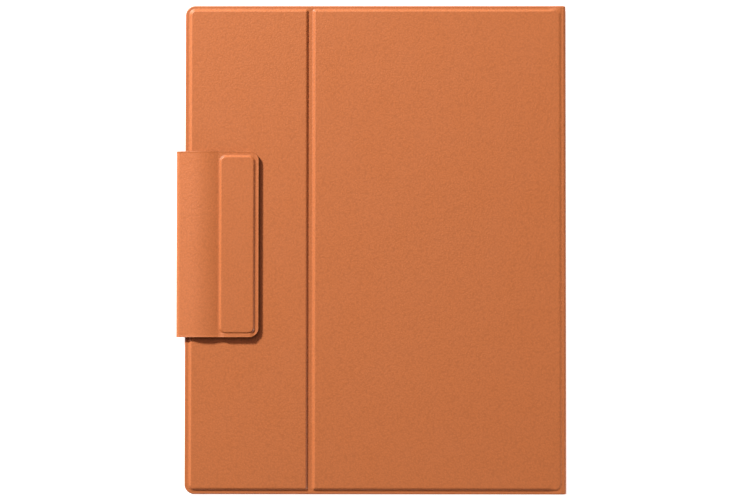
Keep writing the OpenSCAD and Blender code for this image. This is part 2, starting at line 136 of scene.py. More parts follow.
# Grid spacings, coarse and fine, and how far the fine zones reach from an edge, a fold or the pad's sides
COVER_GRID, COVER_EDGE_ZONE, FOLD_ZONE = (3.2 * MM, 0.21 * MM), 6.5 * MM, 4.6 * MM
LINING_GRID, LINING_ZONE = (4 * MM, 0.3 * MM), 4 * MM
SPINE_GRID, SPINE_ZONE, SPINE_CURVE_STEPS = (4 * MM, 0.3 * MM), 2 * MM, 6
STRAP_GRID_U, STRAP_GRID_V, STRAP_ZONE = (0.5 * MM, 0.17 * MM), (2.6 * MM, 0.2 * MM), 7 * MM
PAD_ZONE_OUT, PAD_ZONE_IN = 1 * MM, 4 * MM
STRAP_WALK_STEP = 0.02 * MM

# A distance past everything in the model
FAR = 1.0


# ---------------------------------------------------------------- meshes

def smooth(t):
    """0 to 1 as t goes from 0 to 1, with level ends."""
    t = np.clip(t, 0.0, 1.0)
    return t * t * (3 - 2 * t)


def pressed(t):
    """0 to 1 as t goes from 0 to 1, like leather pressed round a board: soft foot, crisper crest."""
    t = np.clip(t, 0.0, 1.0)
    return 1.5 * t ** 2 - 0.5 * t ** 6


def raised(x, y, low, high, radii, width, right_width):
    """0 outside a rounded rectangle, and 1 inside it past a slope of that width.

    The slope on the right side is right_width wide. A slope is steeper near its crest on the upper left
    sides, and near its foot on the lower right ones.
    """
    def depth(dx, dy):
        return depth_inside(x + dx, y + dy, low, high, radii)

    nudge = 0.02 * MM
    across = (depth(nudge, 0) - depth(-nudge, 0)) / (2 * nudge)
    up = (depth(0, nudge) - depth(0, -nudge)) / (2 * nudge)
    upper_left = np.clip(0.5 + 0.5 * (across - up), 0, 1)
    crisp_crest = pressed(depth(0, 0) / width)
    lower_right_width = width + (right_width - width) * np.clip(-across, 0, 1)
    crisp_foot = 1 - pressed(1 - depth(0, 0) / lower_right_width)
    return upper_left * crisp_crest + (1 - upper_left) * crisp_foot


def grid_lines(start, stop, spacings, zones):
    """Positions from start to stop. spacings are the coarse one, and the fine one inside the zones."""
    tolerance = 1e-6
    coarse, fine = spacings
    edges = sorted({start, stop, *(min(max(e, start), stop) for zone in zones for e in zone)})
    lines = [start]
    for a, b in zip(edges, edges[1:]):
        inside = any(z[0] <= (a + b) / 2 <= z[1] for z in zones)
        steps = max(1, math.ceil((b - a) / (fine if inside else coarse) - tolerance))
        lines += [a + (b - a) * (i + 1) / steps for i in range(steps)]
    return np.array(lines)


def depth_inside(x, y, low, high, radii):
    """How far each point lies inside a rectangle whose left and right corners have these radii."""
    cx, cy = (low[0] + high[0]) / 2, (low[1] + high[1]) / 2
    radius = np.where(x < cx, radii[0], radii[1])
    qx = np.abs(x - cx) - (high[0] - low[0]) / 2 + radius
    qy = np.abs(y - cy) - (high[1] - low[1]) / 2 + radius
    outside = np.hypot(np.maximum(qx, 0), np.maximum(qy, 0))
    return radius - outside - np.minimum(np.maximum(qx, qy), 0)


def round_corner(u, v, corner, towards, radius):
    """Moves the points of a grid's square corner onto a quarter disc. Returns the new u and v."""
    tolerance = 1e-9
    a = (corner[0] + towards[0] * radius - u) * towards[0] / radius
    b = (corner[1] + towards[1] * radius - v) * towards[1] / radius
    inside = (a > tolerance) & (b > tolerance)
    reach = np.maximum(a, b)
    a_safe, b_safe = np.where(inside, a, 1.0), np.where(inside, b, 1.0)
    angle = np.where(a_safe >= b_safe, math.pi / 4 * b_safe / a_safe,
                     math.pi / 2 - math.pi / 4 * a_safe / b_safe)
    new_u = corner[0] + towards[0] * radius - towards[0] * radius * reach * np.cos(angle)
    new_v = corner[1] + towards[1] * radius - towards[1] * radius * reach * np.sin(angle)
    return np.where(inside, new_u, u), np.where(inside, new_v, v)


def closed_mesh(name, points, faces, materials, face_slots):
    """A smooth mesh object that remembers where each of its points is at rest."""
    mesh = bpy.data.meshes.new(name)
    mesh.from_pydata([tuple(p) for p in points], [], faces)
    mesh.validate()
    piece = bpy.data.objects.new(name, mesh)
    bpy.context.scene.collection.objects.link(piece)
    for material in materials:
        mesh.materials.append(material)
    mesh.polygons.foreach_set("material_index", face_slots)
    mesh.polygons.foreach_set("use_smooth", [True] * len(mesh.polygons))
    rest = mesh.attributes.new("rest", "FLOAT_VECTOR", "POINT")
    rest.data.foreach_set("vector", np.asarray(points, np.float32).ravel())
    mesh.update()
    return piece


def outline_of(nu, nv):
    """A grid's outline, once round, as pairs of indices."""
    return ([(i, 0) for i in range(nu)] + [(nu - 1, j) for j in range(1, nv)]
            + [(i, nv - 1) for i in range(nu - 2, -1, -1)] + [(0, j) for j in range(nv - 2, 0, -1)])


def roll_at(index, point, us, vs, rolls, radii):
    """Which way, and how far, the edge of a sheet rolls out at one point of its outline."""
    middle_u, middle_v = (us[0] + us[-1]) / 2, (vs[0] + vs[-1]) / 2
    on_left = point[0] < middle_u
    radius = radii[0] if on_left else radii[1]
    centre_u = us[0] + radius if on_left else us[-1] - radius
    centre_v = vs[0] + radius if point[1] < middle_v else vs[-1] - radius
    du, dv = point[0] - centre_u, point[1] - centre_v
    outwards = (du < 0) == (centre_u < middle_u) and (dv < 0) == (centre_v < middle_v)
    tolerance = radius * 0.02
    if radius > 0 and outwards and abs(math.hypot(du, dv) - radius) < tolerance:
        return max(rolls) * du / radius, max(rolls) * dv / radius
    left, right, low, high = rolls
    return (right * (index[0] == len(us) - 1) - left * (index[0] == 0),
            high * (index[1] == len(vs) - 1) - low * (index[1] == 0))


def sheet_faces(nu, nv, outline, ring_steps):
    """The faces of a sheet, and the slot of each: 0 on top, 1 round the edge and 2 below."""
    count, around = nu * nv, len(outline)
    faces, slots = [], []
    for i in range(nu - 1):
        for j in range(nv - 1):
            a, b, c, d = i * nv + j, (i + 1) * nv + j, (i + 1) * nv + j + 1, i * nv + j + 1
            faces += [(a, b, c, d), (count + d, count + c, count + b, count + a)]
            slots += [0, 2]
    loops = [[i * nv + j for i, j in outline]]
    loops += [[2 * count + (k - 1) * around + m for m in range(around)] for k in range(1, ring_steps)]
    loops += [[count + i * nv + j for i, j in outline]]
    for level, (upper, lower) in enumerate(zip(loops, loops[1:])):
        slot = 0 if level == 0 else 1 if level < ring_steps - 1 else 2
        for m in range(around):
            n = (m + 1) % around
            faces.append((upper[n], upper[m], lower[m], lower[n]))
            slots.append(slot)
    return faces, slots


def sheet(name, us, vs, top, bottom, rolls, radii, materials, place, ring_steps=8):
    """A closed sheet over a grid of u and v.

    top and bottom give its heights. rolls says how far the left, right, low and high sides roll out
    beyond the grid, 0 for a side that another piece carries on from. radii are those of the grid's
    left and right corners. materials are those of the top, the edge and the underside. place turns
    (u, v, height) into x, y and z.
    """
    u, v = np.meshgrid(us, vs, indexing="ij")
    for side_u, end_u, radius in ((1, us[0], radii[0]), (-1, us[-1], radii[1])):
        if radius > 0:
            for side_v, end_v in ((1, vs[0]), (-1, vs[-1])):
                u, v = round_corner(u, v, (end_u, end_v), (side_u, side_v), radius)
    high, low = top(u, v), bottom(u, v)
    outline = outline_of(*u.shape)
    edge_u, edge_v = np.array([u[k] for k in outline]), np.array([v[k] for k in outline])
    edge_high, edge_low = np.array([high[k] for k in outline]), np.array([low[k] for k in outline])
    middle, half = (edge_high + edge_low) / 2, (edge_high - edge_low) / 2
    out = np.array([roll_at(k, (u[k], v[k]), us, vs, rolls, radii) for k in outline])
    points = [np.column_stack([u.ravel(), v.ravel(), height.ravel()]) for height in (high, low)]
    for k in range(1, ring_steps):
        turn = math.pi * k / ring_steps
        points.append(np.column_stack([edge_u + out[:, 0] * math.sin(turn),
                                       edge_v + out[:, 1] * math.sin(turn),
                                       middle + half * math.cos(turn)]))
    faces, slots = sheet_faces(*u.shape, outline, ring_steps)
    return closed_mesh(name, place(*np.vstack(points).T), faces, materials, slots)


# ---------------------------------------------------------------- materials

class Paint:
    """One material's node tree, built with short calls. Scales of textures are per metre."""

    def __init__(self, name, **shader):
        self.material = bpy.data.materials.new(name)
        self.material.use_nodes = True
        self.tree = self.material.node_tree
        self.tree.nodes.clear()
        self.shader = self.add("ShaderNodeBsdfPrincipled", **shader)
        output = self.add("ShaderNodeOutputMaterial")
        self.tree.links.new(self.shader.outputs[0], output.inputs["Surface"])

    def add(self, kind, settings=None, **inputs):
        node = self.tree.nodes.new(kind)
        for key, value in (settings or {}).items():
            setattr(node, key, value)
        for key, value in inputs.items():
            self.put(node, key, value)
        return node

    def put(self, node, key, value):
        if isinstance(key, str) and key not in node.inputs:
            key = key.replace("_", " ")
        socket = node.inputs[key]
        if isinstance(value, bpy.types.NodeSocket):
            self.tree.links.new(value, socket)
        else:
            socket.default_value = value

    def set(self, **inputs):
        for key, value in inputs.items():
            self.put(self.shader, key, value)

    def rest(self):
        """Where a point of a bent piece is at rest."""
        return self.add("ShaderNodeAttribute", {"attribute_name": "rest"}).outputs["Vector"]

    def own(self):
        """Where a point of a rigid piece is, on the piece."""
        return self.add("ShaderNodeTexCoord").outputs["Object"]

    def noise(self, at, scale, detail=2.0, roughness=0.5):
        return self.add("ShaderNodeTexNoise", Vector=at, Scale=scale, Detail=detail,
                        Roughness=roughness).outputs["Fac"]

    def cells(self, at, scale, feature="F1", randomness=1.0):
        return self.add("ShaderNodeTexVoronoi", {"feature": feature}, Vector=at, Scale=scale,
                        Randomness=randomness).outputs["Distance"]

    def warped(self, at, scale, reach):
        """The place pushed about by noise, by that much."""
        push = self.add("ShaderNodeTexNoise", Vector=at, Scale=scale, Detail=1.0).outputs["Color"]
        scaled = self.add("ShaderNodeVectorMath", {"operation": "SCALE"}, Vector=push, Scale=reach)
        moved = self.add("ShaderNodeVectorMath", {"operation": "ADD"})
        self.put(moved, 0, at)
        self.put(moved, 1, scaled.outputs[0])
        return moved.outputs[0]

    def spread(self, value, low, high, to_low, to_high):
        """value from low..high as to_low..to_high."""
        node = self.add("ShaderNodeMapRange")
        for key, number in zip(range(5), (value, low, high, to_low, to_high)):
            self.put(node, key, number)
        return node.outputs[0]

    def maths(self, operation, a, b):
        node = self.add("ShaderNodeMath", {"operation": operation})
        self.put(node, 0, a)
        self.put(node, 1, b)
        return node.outputs[0]

    def mix(self, factor, a, b):
        node = self.add("ShaderNodeMix", {"data_type": "RGBA"})
        self.put(node, 0, factor)
        self.put(node, 6, (*a, 1.0) if isinstance(a, tuple) else a)
        self.put(node, 7, (*b, 1.0) if isinstance(b, tuple) else b)
        return node.outputs[2]

    def bump(self, height, depth, strength=1.0):
        """Relief of that depth in metres."""
        node = self.add("ShaderNodeBump", Height=height, Distance=depth, Strength=strength)
        self.set(Normal=node.outputs[0])


def tint(colour, factor):
    """The colour made that much lighter or darker."""
    return tuple(min(1.0, c * factor) for c in colour)


def leather_paint(name, base, at_rest=True):
    """Fine-grained coated leather: small rounded pebbles with creases between them, satin."""
    paint = Paint(name, Roughness=0.5, Specular_IOR_Level=0.5)
    at = paint.rest() if at_rest else paint.own()
    pebbles = paint.cells(paint.warped(at, 700.0, 0.6 * MM), 1250.0, "SMOOTH_F1")
    pores = paint.noise(at, 3800.0, 2.0)
    relief = paint.maths("ADD", paint.spread(pebbles, 0.05, 0.75, 1.0, 0.0),
                         paint.maths("MULTIPLY", pores, 0.45))
    mottle = paint.noise(at, 55.0, 4.0, 0.6)
    clouds = paint.noise(at, 9.0, 2.0)
    colour = paint.mix(paint.spread(relief, 0.2, 1.3, 0.0, 1.0), tint(base, 0.86), tint(base, 1.07))
    colour = paint.mix(paint.spread(mottle, 0.3, 0.7, 0.0, 0.12), colour, tint(base, 0.93))
    colour = paint.mix(paint.spread(clouds, 0.3, 0.7, 0.0, 0.08), colour, tint(base, 1.1))
    paint.set(Base_Color=colour)
    paint.set(Roughness=paint.spread(paint.maths("ADD", mottle, pores), 0.6, 1.4, 0.4, 0.54))
    paint.bump(relief, 0.04 * MM)
    return paint.material


def microfibre_paint(name, base, at_rest=True):
    """Brushed microfibre: short soft nap in faint patches."""
    paint = Paint(name, Roughness=0.95, Specular_IOR_Level=0.15, Sheen_Weight=0.15, Sheen_Roughness=0.45)
    at = paint.rest() if at_rest else paint.own()
    nap = paint.noise(at, 4200.0, 3.0, 0.7)
    patches = paint.noise(at, 45.0, 3.0)
    colour = paint.mix(paint.spread(nap, 0.3, 0.7, 0.0, 1.0), tint(base, 0.72), base)
    colour = paint.mix(paint.spread(patches, 0.35, 0.65, 0.0, 0.3), colour, tint(base, 1.25))
    paint.set(Base_Color=colour)
    paint.bump(nap, 0.08 * MM, 0.8)
    return paint.material


def moulded_paint(name, base, roughness=0.5, grain=2500.0, relief=0.01 * MM, metallic=0.0):
    """Plastic, print or bead-blasted metal with a fine even texture and faint handling marks."""
    paint = Paint(name, Metallic=metallic, Roughness=roughness)
    at = paint.own()
    fine = paint.noise(at, grain, 2.0)
    marks = paint.noise(at, 60.0, 4.0, 0.6)
    colour = paint.mix(paint.spread(fine, 0.3, 0.7, 0.0, 1.0), tint(base, 0.9), tint(base, 1.08))
    paint.set(Base_Color=colour)
    paint.set(Roughness=paint.spread(marks, 0.3, 0.7, roughness * 0.85, min(1.0, roughness * 1.15)))
    paint.bump(fine, relief)
    return paint.material


def brushed_paint(name, base, roughness=0.3):
    """Metal with fine parallel brush lines."""
    paint = Paint(name, Metallic=1.0, Roughness=roughness)
    along, across = 150.0, 4000.0
    stretch = paint.add("ShaderNodeMapping", Vector=paint.own(), Scale=(along, across, across))
    lines = paint.noise(stretch.outputs[0], 1.0, 2.0)
    paint.set(Base_Color=paint.mix(lines, tint(base, 0.8), base))
    paint.set(Roughness=paint.spread(lines, 0.3, 0.7, roughness * 0.8, roughness * 1.3))
    paint.bump(lines, 0.005 * MM)
    return paint.material


def board_paint(name, base):
    """Grey-brown pressed fibre board with flecks."""
    paint = Paint(name, Roughness=0.9)
    at = paint.own()
    fibre = paint.noise(at, 900.0, 4.0, 0.7)
    flecks = paint.cells(at, 400.0)
    colour = paint.mix(paint.spread(fibre, 0.3, 0.7, 0.0, 1.0), tint(base, 0.7), base)
    colour = paint.mix(paint.spread(flecks, 0.0, 0.25, 0.5, 0.0), colour, tint(base, 0.4))
    paint.set(Base_Color=colour)
    paint.bump(fibre, 0.05 * MM)
    return paint.material


def circuit_paint(name, base):
    """Solder mask over traces: a grid of slightly raised lighter runs."""
    paint = Paint(name, Roughness=0.35)
    at = paint.own()
    runs = paint.cells(at, 500.0, "DISTANCE_TO_EDGE", 0.6)
    copper = paint.spread(runs, 0.02, 0.08, 1.0, 0.0)
    paint.set(Base_Color=paint.mix(copper, base, tuple(c * 2.2 + 0.01 for c in base)))
    paint.bump(copper, 0.03 * MM)
    return paint.material


def film_paint(name, base, alpha):
    """Clear, finely etched film that lets the page show through."""
    paint = Paint(name, Roughness=0.25, Alpha=alpha)
    at = paint.own()
    etch = paint.noise(at, 6000.0, 1.0)
    paint.set(Base_Color=paint.mix(paint.spread(etch, 0.3, 0.7, 0.0, 1.0), tint(base, 0.97), base))
    paint.bump(etch, 0.002 * MM)
    return paint.material


def page_paint(name, base, low, high):
    """The e-paper's resting picture: rows of rolling hills in flat greys under a pale sky."""
    paint = Paint(name, Roughness=0.85, Specular_IOR_Level=0.2)
    at = paint.own()
    split = paint.add("ShaderNodeSeparateXYZ", Vector=at)
    across, up = split.outputs[0], split.outputs[1]
    colour = paint.mix(paint.spread(up, low.y, high.y, 0.0, 1.0), tint(base, 0.94), base)
    hills, farthest, spacing, swing = 5, 0.52, 0.1, 35 * MM
    palest, darkening = 0.78, 0.145
    shift, scale, scale_step = 7.3, 14.0, 3.0
    for k in range(hills):
        level = low.y + (high.y - low.y) * (farthest - spacing * k)
        shifted = paint.maths("ADD", across, shift * (k + 1))
        line = paint.add("ShaderNodeTexNoise", {"noise_dimensions": "1D"}, W=shifted,
                         Scale=scale + scale_step * k, Detail=1.5)
        crest = paint.spread(line.outputs["Fac"], 0.0, 1.0, level - swing, level + swing)
        below = paint.maths("LESS_THAN", up, crest)
        colour = paint.mix(below, colour, tint(base, palest - darkening * k))
    speckle = paint.noise(at, 5000.0, 2.0)
    colour = paint.mix(paint.spread(speckle, 0.35, 0.65, 0.0, 0.12), colour, tint(base, 0.55))
    paint.set(Base_Color=colour)
    return paint.material


LEATHER = (0.6, 0.181, 0.0535)
MICROFIBRE = (0.2, 0.105, 0.062)
leather = leather_paint("leather_tan", LEATHER)
lining = microfibre_paint("microfibre_brown", MICROFIBRE)
# Dark brown paint for the strap's cut edge. It is partly real edge paint and partly painted shade that deepens the
# dark line along the strap's shaded right and lower edges
edge_paint_and_shade = leather_paint("edge_paint_brown", tint(LEATHER, 0.3))

SLOT_PAINTS = {
    "leather": leather_paint("leather_tan_rigid", LEATHER, at_rest=False),
    "lining": microfibre_paint("microfibre_rigid", MICROFIBRE, at_rest=False),
    "board": board_paint("fibre_board", (0.42, 0.34, 0.25)),
    "magnet": brushed_paint("nickel_magnet", (0.62, 0.61, 0.6), 0.25),
    "shell": moulded_paint("graphite_shell", (0.05, 0.052, 0.057), 0.42,
                           grain=3000.0, relief=0.012 * MM, metallic=0.6),
    "lens": film_paint("etched_lens", (0.9, 0.92, 0.92), alpha=0.1),
    "mask": moulded_paint("bezel_print", (0.03, 0.03, 0.032), 0.5),
    "light_guide": film_paint("light_guide_film", (0.95, 0.97, 1.0), alpha=0.05),
    "led": moulded_paint("led_yellow", (0.8, 0.62, 0.12), 0.3),
    "flex": moulded_paint("polyimide_amber", (0.45, 0.17, 0.025), 0.3, grain=1500.0),
    "circuit": circuit_paint("solder_mask_green", (0.012, 0.09, 0.045)),
    "frame_metal": moulded_paint("cast_magnesium", (0.5, 0.5, 0.51), 0.5,
                                 grain=1800.0, relief=0.02 * MM, metallic=0.9),
    "steel": brushed_paint("brushed_steel", (0.55, 0.55, 0.56)),
    "battery": moulded_paint("pouch_foil", (0.06, 0.06, 0.065), 0.35,
                             grain=900.0, relief=0.02 * MM, metallic=0.3),
    "black_plastic": moulded_paint("black_plastic", (0.02, 0.02, 0.021), 0.55),
    "button": moulded_paint("button_plastic", (0.045, 0.046, 0.05), 0.4),
}
page_low, page_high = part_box("epaper_panel")
SLOT_PAINTS["epaper"] = page_paint("epaper_page", (0.72, 0.72, 0.69), page_low, page_high)

for row in frame["record"]["subparts"]:
    slots = frame["nodes"][row["node"]].data.materials
    slots.clear()
    slots.append(SLOT_PAINTS[row["material_slot"]])


# ---------------------------------------------------------------- camera, light and floor

def camera():
    """Looks straight down on the front cover, very slightly from the bottom and the spine side."""
    distance, view_w = 1.2, 0.3703
    off_centre_x, off_centre_y = -0.22 * MM, -0.32 * MM
    tilt, yaw, roll = math.radians(1.7), math.radians(0.35), math.radians(0.04)
    data = bpy.data.cameras.new("camera")
    data.sensor_width = 36.0
    data.lens = data.sensor_width * distance / view_w
    data.clip_start, data.clip_end = 0.05, 20.0
    cam = bpy.data.objects.new("camera", data)
    bpy.context.scene.collection.objects.link(cam)
    target = Vector(((FREE_X + SPINE_X1) / 2 + off_centre_x, off_centre_y, COVER_Z1))
    towards = Vector((math.sin(yaw), -math.sin(tilt), 1.0)).normalized()
    right = Vector((-math.sin(roll), math.cos(roll), 0)).cross(towards).normalized()
    cam.matrix_world = Matrix.LocRotScale(target + towards * distance,
                                          Matrix((right, towards.cross(right), towards)).transposed(), None)
    bpy.context.scene.camera = cam


WHITE = (1.0, 1.0, 1.0)
WARM = (1.0, 0.7, 0.65)


def area_light(name, direction, distance, size, power, colour=WHITE):
    """A square light that shines on the origin from that direction and distance."""
    data = bpy.data.lights.new(name, "AREA")
    data.shape, data.size, data.energy, data.color = "SQUARE", size, power, colour
    light = bpy.data.objects.new(name, data)
    bpy.context.scene.collection.objects.link(light)
    towards = Vector(direction).normalized()
    light.location = towards * distance
    light.rotation_mode = "QUATERNION"
    light.rotation_quaternion = (-towards).to_track_quat("-Z", "Y")


def white_floor():
    """A plain white floor that glows enough to stay white in the folio's shadow."""
    reach, drop = 4.0, 0.02 * MM
    paint = Paint("floor_white", Base_Color=(0.6, 0.6, 0.6, 1.0), Roughness=0.9,
                  Emission_Color=(*WHITE, 1.0), Emission_Strength=0.93)
    mesh = bpy.data.meshes.new("floor")
    corners = [(-reach, -reach, 0), (reach, -reach, 0), (reach, reach, 0), (-reach, reach, 0)]
    mesh.from_pydata(corners, [], [(0, 1, 2, 3)])
    mesh.materials.append(paint.material)
    floor = bpy.data.objects.new("floor", mesh)
    floor.location.z = -drop
    bpy.context.scene.collection.objects.link(floor)


def lights():
    """A small key light and a warm fill from the upper left, a low rim light, and a dim warm room."""
    area_light("key", direction=(-1.2, 1.35, 1.0), distance=1.7, size=0.2, power=45.5)
    area_light("rim", direction=(1.0, -0.5, 0.12), distance=0.8, size=0.3, power=2.9)
    area_light("fill", direction=(-0.5, 0.6, 1.0), distance=2.5, size=1.4, power=11.5, colour=WARM)
    room_strength = 0.08
    world = bpy.data.worlds.new("room")
    world.use_nodes = True
    background = world.node_tree.nodes["Background"]
    background.inputs["Color"].default_value = (*WARM, 1.0)
    background.inputs["Strength"].default_value = room_strength
    bpy.context.scene.world = world
    bpy.context.scene.view_settings.view_transform = "Standard"


camera()
white_floor()
lights()


# ---------------------------------------------------------------- covers

def foot(board_low, board_high, x0=None, x1=None):
    """The rectangle at the foot of an embossed panel's slopes, from the box of its board."""
    low = (board_low.x - BOARD_INSET if x0 is None else x0, board_low.y - BOTTOM_INSET)
    high = (board_high.x + BOARD_INSET if x1 is None else x1, board_high.y + TOP_INSET)
    return low, high


def cover_rise(panels):
    """The outer face's height above the lined face, as a function of x and y."""
    def rise(x, y):
        towards_spine = smooth((x - COVER_X1 + SPINE_FADE) / SPINE_FADE)
        rim = RIM_RISE + (SPINE_SIDE_RISE - RIM_RISE) * towards_spine
        lift = np.zeros_like(x)
        for (low, high), radii in panels:
            slope = SLOPE_W + (SPINE_SLOPE_W - SLOPE_W) * towards_spine
            lift = np.maximum(lift, raised(x, y, low, high, radii, slope, np.minimum(slope, FOLD_SLOPE_W)))
        return rim + (FACE_RISE - rim) * lift
    return rise


def under_rise(rise):
    """The skin's inner face: a skin's thickness under the outer one, but for the rim and the spine."""
    def under(x, y):
        low, high = (FREE_X, -HALF_H), (COVER_X1 + FAR, HALF_H)
        edge = depth_inside(x, y, low, high, (FREE_CORNER_R, SPINE_CORNER_R))
        turned = 1 - smooth((edge - TURN_IN_W) / TURN_IN_FADE)
        at_spine = smooth((x - COVER_X1 + SPINE_MEET_W) / SPINE_MEET_FADE)
        inner = rise(x, y) - SKIN_T
        inner = inner + (LINING_T - inner) * at_spine
        return inner + (TURN_IN_RISE - inner) * turned
    return under


def cover_grid(folds):
    """Grid lines for a cover, fine at its edges and at the folds."""
    zone = COVER_EDGE_ZONE
    x0, x1 = FREE_X + EDGE_ROLL, COVER_X1
    y1 = HALF_H - EDGE_ROLL
    fold_zones = [(fold - FOLD_ZONE, fold + FOLD_ZONE) for fold in folds]
    us = grid_lines(x0, x1, COVER_GRID, [(x0, FREE_X + zone), (x1 - zone, x1)] + fold_zones)
    vs = grid_lines(-y1, y1, COVER_GRID, [(-y1, -y1 + zone), (y1 - zone, y1)])
    return us, vs


def front_place(x, y, rise):
    """Rises in the front cover are measured up from its lining's face."""
    return np.column_stack([x, y, COVER_Z0 + rise])


def back_place(x, y, rise):
    """Rises in the back cover are measured down from its lining's face."""
    return np.column_stack([x, y, BACK_TOP - rise])


def cover_leather(name, panels, folds, place):
    """A cover's skin, with its embossed panels, and the fine grid that its folds need."""
    rise = cover_rise(panels)
    us, vs = cover_grid(folds)
    return sheet(name, us, vs, rise, under_rise(rise), rolls=(EDGE_ROLL, 0.0, EDGE_ROLL, EDGE_ROLL),
                 radii=(FREE_CORNER_R - EDGE_ROLL, 0.0), materials=[leather, leather, leather], place=place)


def cover_lining(name, folds, place):
    """The lining pad, set in from the cover's edges, with a pressed groove where the cover folds."""
    zone, roll = LINING_ZONE, LINING_ROLL
    x0, x1 = FREE_X + TURN_IN_W + roll, COVER_X1 - LINING_SPINE_GAP
    y1 = HALF_H - TURN_IN_W - roll
    fold_zones = [(fold - zone, fold + zone) for fold in folds]
    us = grid_lines(x0, x1, LINING_GRID, [(x0, x0 + zone)] + fold_zones)
    vs = grid_lines(-y1, y1, LINING_GRID, [(-y1, -y1 + zone), (y1 - zone, y1)])

    def inner(x, y):
        groove = np.zeros_like(x)
        for fold in folds:
            past_floor = np.abs(x - fold) - LINING_GROOVE_SLOPE_W
            groove = groove + 1 - smooth(past_floor / LINING_GROOVE_SLOPE_W)
        return LINING_GROOVE_DEPTH * groove

    def outer(x, y):
        return np.full_like(x, LINING_T)

    return sheet(name, us, vs, outer, inner, rolls=(roll, 0.0, roll, roll), radii=(LINING_CORNER_R, 0.0),
                 materials=[lining, lining, lining], place=place, ring_steps=4)


strip_foot = foot(strip_board_low, strip_board_high, x1=FOLD_X - GROOVE_LEFT)
panel_foot = foot(panel_board_low, panel_board_high, x0=FOLD_X + GROOVE_RIGHT, x1=COVER_X1)
back_foot = foot(back_board_low, back_board_high, x1=COVER_X1)

front_leather = cover_leather("front_cover_leather",
                              [(strip_foot, (PANEL_CORNER_R, FOLD_CORNER_R)),
                               (panel_foot, (FOLD_CORNER_R, PANEL_CORNER_R))],
                              [FOLD_X], front_place)
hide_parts("panel_skin", "strip_skin")
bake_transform(front_leather)

front_lining = cover_lining("front_cover_lining", [FOLD_X], front_place)
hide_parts("panel_lining", "strip_lining")
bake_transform(front_lining)

back_leather = cover_leather("back_cover_leather", [(back_foot, (PANEL_CORNER_R, PANEL_CORNER_R))], [],
                             back_place)
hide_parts("back_skin")
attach(back_leather, "back_cover")

back_lining = cover_lining("back_cover_lining", [], back_place)
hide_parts("back_lining")
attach(back_lining, "back_cover")


# ---------------------------------------------------------------- spine

def along(points, steps):
    """A smooth curve through the points, as that many steps, by Catmull-Rom."""
    points = np.array(points, float)
    padded = np.vstack([2 * points[0] - points[1], points, 2 * points[-1] - points[-2]])
    curve = []
    for k in range(len(points) - 1):
        p0, p1, p2, p3 = padded[k:k + 4]
        for t in np.arange(0, 1, 1 / steps):
            curve.append(0.5 * ((2 * p1) + (p2 - p0) * t + (2 * p0 - 5 * p1 + 4 * p2 - p3) * t * t
                                + (3 * p1 - p0 - 3 * p2 + p3) * t ** 3))
    return np.vstack([curve, points[-1]])


def spine_half(name, mirrored):
    """Half the spine and its hinge to a cover: leather outside, lining inside, up to mid-spine."""
    top = COVER_Z0 + SPINE_SIDE_RISE
    outer = along([(COVER_X1, top), (COVER_X1 + 0.55 * MM, top - 0.06 * MM),
                   (COVER_X1 + 1.15 * MM, top - 0.04 * MM), (SPINE_X1 - 0.72 * MM, top - 0.22 * MM),
                   (SPINE_X1 - 0.2 * MM, top - 0.75 * MM),
                   (SPINE_X1, top - 1.5 * MM), (SPINE_X1, top - 2.4 * MM), (SPINE_X1, MID_Z)],
                  SPINE_CURVE_STEPS)
    outer[:, 0] = np.minimum(outer[:, 0], SPINE_X1)
    inner = along([(COVER_X1, COVER_Z0 + 0.05 * MM), (COVER_X1 + 0.1 * MM, COVER_Z0 + 0.04 * MM),
                   (COVER_X1 + 0.2 * MM, COVER_Z0), (SPINE_INNER_X - 0.05 * MM, COVER_Z0 - 0.1 * MM),
                   (SPINE_INNER_X, COVER_Z0 - 0.3 * MM), (SPINE_INNER_X, COVER_Z0 - 0.6 * MM),
                   (SPINE_INNER_X, COVER_Z0 - 1.2 * MM), (SPINE_INNER_X, MID_Z)],
                  SPINE_CURVE_STEPS)
    stations = np.arange(len(outer), dtype=float)

    def place(u, v, h):
        x = np.interp(u, stations, inner[:, 0]) * (1 - h) + np.interp(u, stations, outer[:, 0]) * h
        z = np.interp(u, stations, inner[:, 1]) * (1 - h) + np.interp(u, stations, outer[:, 1]) * h
        return np.column_stack([x, v, 2 * MID_Z - z if mirrored else z])

    y1 = HALF_H - EDGE_ROLL
    vs = grid_lines(-y1, y1, SPINE_GRID, [(-y1, -y1 + SPINE_ZONE), (y1 - SPINE_ZONE, y1)])
    return sheet(name, stations, vs, lambda u, v: np.ones_like(u), lambda u, v: np.zeros_like(u),
                 rolls=(0.0, 0.0, EDGE_ROLL, EDGE_ROLL), radii=(0.0, 0.0),
                 materials=[leather, leather, lining], place=place)


upper_spine = spine_half("spine_upper_leather", False)
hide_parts("spine_skin", "spine_lining")
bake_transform(upper_spine)

lower_spine = spine_half("spine_lower_leather", True)
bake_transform(lower_spine)


# ---------------------------------------------------------------- clasp

def walk(legs):
    """The line from the back cover's rim along the legs, each a length and two directions.

    Returns distances along it, x, z and directions. A bend turns gently at its ends, as a blend does.
    """
    s, x, z, turn = [0.0], [FREE_X + ROOT_DEPTH], [ROOT_MID_Z], [math.pi]
    for length, a0, a1 in legs:
        n = max(1, round(length / STRAP_WALK_STEP))
        for k in range(n):
            angle = a0 + (a1 - a0) * float(smooth((k + 0.5) / n))
            x.append(x[-1] + length / n * math.cos(angle))
            z.append(z[-1] + length / n * math.sin(angle))
            s.append(s[-1] + length / n)
            turn.append(a0 + (a1 - a0) * float(smooth((k + 1) / n)))
    return map(np.array, (s, x, z, turn))


